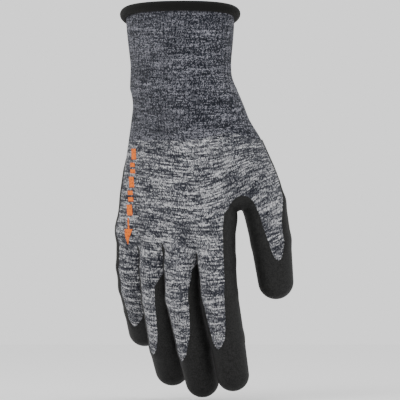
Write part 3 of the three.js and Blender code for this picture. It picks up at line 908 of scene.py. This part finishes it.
# A finger's sections, with where the bend into each starts and ends, in joints along the finger.
FINGER_BENDS = {"proximal": (1.12, 1.62), "middle": (1.66, 2.34), "tip": (2.66, 3.3)}
THUMB_BENDS = {"proximal": (1.05, 1.6), "tip": (1.68, 2.3)}
FOLD_BEND = (3.0, 17.0)  # millimetres below the palm's fold
WRIST_BEND = (-32.0, -58.0)  # heights
CUFF_LOW = -76.0  # height of the edge between the cuff's darker ribbed knitting and the hand's
CUFF_LIFT = [4.5, 29.0, 13.0]  # how far that edge rises over the thumb, where across, and over what width
CUFF_LIFT_BACK = (-8, 4)  # it rises only on the back, over this change of depth
THUMB_REACH = 16.0  # millimetres off the hand over which the skin comes to follow the thumb
THUMB_NEXT = 9.0  # millimetres more over which it comes to follow each of the thumb's sections
THUMB_FADE = 22.0  # height under the cuff over which the thumb's pull sets in
THUMB_TOP = CROTCH + 24.0  # the thumb's own sections start below this height
THUMB_TOP_WEIGHT = 0.1  # what a millimetre of that height counts for against the share
FOLD_ENDS = [FOLD + FOLD_DOWN * d for d in FOLD_BEND]
WRIST_ENDS = [np.array([0, 0, z]) for z in WRIST_BEND]


def share_between(value, span):
    return (value - span[0]) / (span[1] - span[0])


def wrist_share(p):
    return share_between(p[:, 2], WRIST_BEND)


def fold_share(p):
    return share_between(past_fold(p), FOLD_BEND)


def thumb_share(p):
    return off_hand(p) / THUMB_REACH * ramp(p[:, 2], CUFF_LOW, CUFF_LOW - THUMB_FADE)


def finger_share(digit, part):
    return lambda p: share_between(progress(p, digit), FINGER_BENDS[part])


def thumb_part_share(part, reach):
    """How far the skin follows one of the thumb's sections, which starts at a reach off the hand."""

    def share(p):
        along = share_between(progress(p, "thumb"), THUMB_BENDS[part])
        return np.minimum(along, (off_hand(p) - reach) / THUMB_NEXT)

    return share


def cut_thumb(skin):
    """The thumb's own pieces."""
    chain = CHAIN["thumb"]
    root_share = thumb_part_share("proximal", THUMB_REACH)
    tip_share = thumb_part_share("tip", THUMB_REACH + THUMB_NEXT)
    tip, root = split(skin, root_share(xyz(skin)) - 1.0)
    return {
        "thumb_proximal": (root, "thumb_base", "thumb_proximal", chain[1], chain[2], root_share),
        "thumb_tip": (tip, "thumb_proximal", "thumb_tip", chain[2], chain[3], tip_share),
    }


def cut_finger(skin, digit):
    """A finger's pieces, cut from the fingers' skin midway between neighbours and where each bend ends."""
    distance = {d: around(xyz(skin), d)[1] for d in FINGERS}
    others = np.min([distance[d] for d in FINGERS if d != digit], axis=0)
    rest, _ = split(skin, others - distance[digit])
    cuts = []
    for part in ("proximal", "middle"):
        rest, near = split(rest, progress(xyz(rest), digit) - FINGER_BENDS[part][1])
        cuts.append(near)
    pieces = {}
    before = "knuckles"
    for k, (part, piece) in enumerate(zip(FINGER_BENDS, [*cuts, rest])):
        body = f"{digit}_{part}"
        ends = CHAIN[digit][k + 1], CHAIN[digit][k + 2]
        pieces[body] = (piece, before, body, *ends, finger_share(digit, part))
        before = body
    return pieces


def cut_skin(skin):
    """The skin's pieces: {name: (skin, parent, child, start, end, share)}."""
    p = xyz(skin)
    lift, across, width = CUFF_LIFT
    bump = np.exp(-(((p[:, 0] - across) / width) ** 2)) * ramp(-p[:, 1], *CUFF_LIFT_BACK)
    sleeve, rest = split(skin, p[:, 2] - (CUFF_LOW + lift * bump))
    p = xyz(rest)
    thumb, rest = split(rest, np.minimum(thumb_share(p) - 1.0, (THUMB_TOP - p[:, 2]) * THUMB_TOP_WEIGHT))
    p = xyz(rest)
    below, hand = split(rest, np.where(by_thumb(p), -1.0, past_fold(p) - FOLD_BEND[0]))
    fingers, knuckle = split(below, past_fold(xyz(below)) - FOLD_BEND[1])
    pieces = {
        "sleeve": (sleeve, "cuff", "hand", *WRIST_ENDS, wrist_share),
        "hand": (hand, "hand", "thumb_base", *CHAIN["thumb"][:2], thumb_share),
        "knuckle": (knuckle, "hand", "knuckles", *FOLD_ENDS, fold_share),
        **cut_thumb(thumb),
    }
    for digit in FINGERS:
        pieces.update(cut_finger(fingers, digit))
    return pieces


# The CAD nodes that a piece's liner and coating stand for, where they aren't called after the piece.
NODES = {"sleeve": ["cuff_sleeve"], "hand": ["hand_knit", "thumb_base_knit"]}
COATS = {"hand": ["palm_coat", "thumb_base_coat"]}


def build_skin():
    """Every piece's liner and, where it is coated, its dip. The whole skin is handed back for the print."""
    skin = make_skin()
    for name, (part, parent, child, start, end, share) in cut_skin(skin).items():
        look, slot = ("cuff", "cuff_knit") if name == "sleeve" else ("liner", "liner_knit")
        n = len(part[0])
        liner = shell(f"{name}_liner", part, np.zeros(n), np.full(n, WALL), LOOKS[look])
        bends(liner, parent, child, start, end, share)
        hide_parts(*NODES.get(name, [f"{name}_knit"]))
        if name == "sleeve":
            continue
        wet, _ = split(part, coat_field(xyz(part)))
        if not wet[1]:
            continue
        inside = coat_field(xyz(wet))
        thick = COAT * np.sqrt(ramp(inside, -COAT_LIP, COAT_EDGE))
        dip = shell(f"{name}_dip", wet, thick, np.full(len(wet[0]), LAP), LOOKS["coat"])
        bends(dip, parent, child, start, end, share)
        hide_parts(*COATS.get(name, [f"{name}_coat"]))
    return skin


skin = build_skin()

# ---------------------------------------------------------------- hem, elastic and print

RING_POINTS = 160
HEM_OUT = 0.6  # from the liner's outer face to the hem's middle
HEM = [3.1, 3.0]  # half width and half height of its section
ELASTIC_HEIGHTS = [-9.0, -16.0, -23.0, -30.0]
ELASTIC_RADIUS = 0.45
ELASTIC_IN = 0.3  # from the liner's inner face to an elastic's middle


def whole_turn(count):
    """Evenly spaced angles round a whole turn."""
    return np.linspace(0, 2 * math.pi, count + 1)[:-1]


def oval(share, grow):
    """A closed row of points round the cuff, at a share of the way from its mouth to the wrist."""
    wide, deep = (half + grow for half in cuff_halves(share))
    a = whole_turn(RING_POINTS)
    ring = WRIST * share + np.outer(wide * np.cos(a), LATERAL) + np.outer(deep * np.sin(a), PALMAR)
    ring[:, 2] += (1 - share) * rim_height(ring)
    return ring


def closed_run(points):
    """How far along a closed row each of its points is, and its whole length."""
    steps = np.linalg.norm(np.diff(np.vstack([points, points[:1]]), axis=0), axis=1)
    return np.concatenate([[0], np.cumsum(steps)])


def loop(name, ring, profile, look):
    """A profile of (out, up) points swept round a closed row of points."""
    n, m = len(ring), len(profile)
    along = np.roll(ring, -1, axis=0) - np.roll(ring, 1, axis=0)
    along /= np.linalg.norm(along, axis=1)[:, None]
    out = np.cross(along, [0, 0, 1])
    out /= np.linalg.norm(out, axis=1)[:, None]
    high = np.cross(out, along)
    points = ring[:, None] + out[:, None] * profile[None, :, :1] + high[:, None] * profile[None, :, 1:]
    run, turn = closed_run(ring), closed_run(profile)
    faces, uv = [], []
    for i in range(n):
        for j in range(m):
            corners = ((i, j), (i, j + 1), (i + 1, j + 1), (i + 1, j))
            faces.append(tuple(a % n * m + b % m for a, b in corners))
            uv += [(run[a], turn[b]) for a, b in corners]
    mesh = bpy.data.meshes.new(name)
    mesh.from_pydata((points.reshape(-1, 3) * MM).tolist(), [], faces)
    mesh.update()
    mesh.shade_smooth()
    lay_weave(mesh, np.array(uv))
    return placed(name, mesh, look)


def round_profile(wide, high, sides):
    a = whole_turn(sides)
    return np.stack([wide * np.cos(a), high * np.sin(a)], axis=1)


def build_hem():
    hem = loop("hem", oval(0.0, HEM_OUT), round_profile(*HEM, 20), LOOKS["hem"])
    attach(hem, "cuff")
    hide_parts("cuff_hem")


def build_elastics():
    profile = round_profile(ELASTIC_RADIUS, ELASTIC_RADIUS, 8)
    for i, height in enumerate(ELASTIC_HEIGHTS):
        ring = oval(height / WRIST[2], -WALL - ELASTIC_IN)
        cord = loop(f"elastic_{i + 1}", ring, profile, LOOKS["elastic"])
        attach(cord, "cuff")
        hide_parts(f"cuff_elastic_{i + 1}")


build_hem()
build_elastics()


# The marks down the back's outer edge. Each is a few patches, and each patch is the lines that bound it:
# [across, up, reach], in millimetres from the mark's middle.
def block(low, high, half):
    return [[1, 0, half], [-1, 0, half], [0, 1, high], [0, -1, -low]]


BAR_TOP = 3.2  # half the height of a mark
BAR_HALF = 2.1  # half its width
BAR_GAP = 0.7  # half the gap between a pair
TALL = [block(-BAR_TOP, BAR_TOP, BAR_HALF)]
PAIR = [block(-BAR_TOP, -BAR_GAP, BAR_HALF), block(BAR_GAP, BAR_TOP, BAR_HALF)]
ARROW_HEAD = [[0, 1, -3.1], [0.955, -0.631, 4.74], [-0.955, 0.037, 2.66]]  # the knuckle curves away under it
ARROW = [block(-3.0, 3.6, 0.5), ARROW_HEAD]
MARKS = [TALL, PAIR, TALL, PAIR, TALL, ARROW]
PRINT_OUT = unit([-0.62, -0.78, 0])  # the way that the printed side faces
PRINT_ACROSS = np.array([-PRINT_OUT[1], PRINT_OUT[0], 0])
PRINT_LEAN = 1.0  # how much further across each mark lies than the one above it, measured from the CAD's bars
PRINT_LEVEL = 1.5  # where marks and bars agree, counted in marks from the topmost
PRINT_DEPTH = 14  # how far behind the hand's outermost point the printed side reaches
INK = 0.18  # thickness of the print
INK_LIFT = 0.02  # its clearance from the stitches


def joined(skins):
    """Separate skins as one."""
    faces, count = [], 0
    for points, own in skins:
        faces += [tuple(v + count for v in face) for face in own]
        count += len(points)
    return np.vstack([points for points, _ in skins]), faces


def build_print(skin):
    """The printed marks, cut from the skin by the CAD's bars. The last one reaches over the palm's fold."""
    p = xyz(skin)
    outermost = np.max(p[p[:, 2] < CUFF_LOW] @ PRINT_OUT)
    outer, _ = split(skin, p @ PRINT_OUT - outermost + PRINT_DEPTH)
    for i, mark in enumerate(MARKS):
        node = f"print_bar_{i + 1}"
        bar = sum(np.array(corner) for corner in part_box(node)) / 2 / MM
        middle = bar + PRINT_ACROSS * PRINT_LEAN * (i - PRINT_LEVEL)
        patches = []
        for lines in mark:
            patch = outer
            for across, up, reach in lines:
                off = xyz(patch) - middle
                patch, _ = split(patch, reach - across * (off @ PRINT_ACROSS) - up * off[:, 2])
            patches.append(patch)
        whole = joined(patches)
        over, under = (np.full(len(whole[0]), offset) for offset in (INK, -INK_LIFT))
        piece = shell(f"mark_{i + 1}", whole, over, under, LOOKS["ink"])
        if mark is ARROW:
            bends(piece, "hand", "knuckles", *FOLD_ENDS, fold_share)
        else:
            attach(piece, "hand")
        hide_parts(node)


build_print(skin)

# ---------------------------------------------------------------- light, floor and camera

SURROUNDINGS = 1.3  # strength of the white light from all round
LAMPS = {"key": ((-0.5, -0.9, 0.5), 0.7, 9.0), "fill": ((0.9, -0.6, 0.0), 0.8, 4.0)}  # place, size and watts
LAMP_AIM = [0.01, 0, -0.12]
FLOOR_DROP = 0.002  # from the glove's lowest point to the floor
FLOOR_HALF = 1.2
CAMERA = {"aim": [0.012, 0.0, -0.1116], "distance": 3.0, "field": 0.24}
SENSOR = 36


def build_light():
    world = bpy.data.worlds.new("studio")
    bpy.context.scene.world = world
    world.use_nodes = True
    background = world.node_tree.nodes["Background"]
    background.inputs["Color"].default_value = (1, 1, 1, 1)
    background.inputs["Strength"].default_value = SURROUNDINGS
    for name, (at, size, power) in LAMPS.items():
        light = bpy.data.lights.new(name, "AREA")
        light.size = size
        light.energy = power
        lamp = bpy.data.objects.new(name, light)
        lamp.location = at
        aim = Vector(np.array(LAMP_AIM) - np.array(at))
        lamp.rotation_euler = aim.to_track_quat("-Z", "Y").to_euler()
        bpy.context.scene.collection.objects.link(lamp)


def build_floor():
    low = SIZE_BEFORE[0][2] - FLOOR_DROP
    corners = [(x * FLOOR_HALF, y * FLOOR_HALF, low) for x, y in ((-1, -1), (1, -1), (1, 1), (-1, 1))]
    mesh = bpy.data.meshes.new("floor")
    mesh.from_pydata(corners, [], [(0, 1, 2, 3)])
    look = Nodes("floor", roughness=0.9)
    look.colour((0.9, 0.9, 0.9, 1))
    mesh.materials.append(look.material)
    floor = bpy.data.objects.new("floor", mesh)
    bpy.context.scene.collection.objects.link(floor)


def build_camera():
    data = bpy.data.cameras.new("camera")
    data.sensor_width = SENSOR
    data.lens = SENSOR * CAMERA["distance"] / CAMERA["field"]
    camera = bpy.data.objects.new("camera", data)
    x, y, z = CAMERA["aim"]
    camera.location = (x, y - CAMERA["distance"], z)
    camera.rotation_euler = (math.pi / 2, 0, 0)
    bpy.context.scene.collection.objects.link(camera)
    bpy.context.scene.camera = camera


build_light()
build_floor()
build_camera()
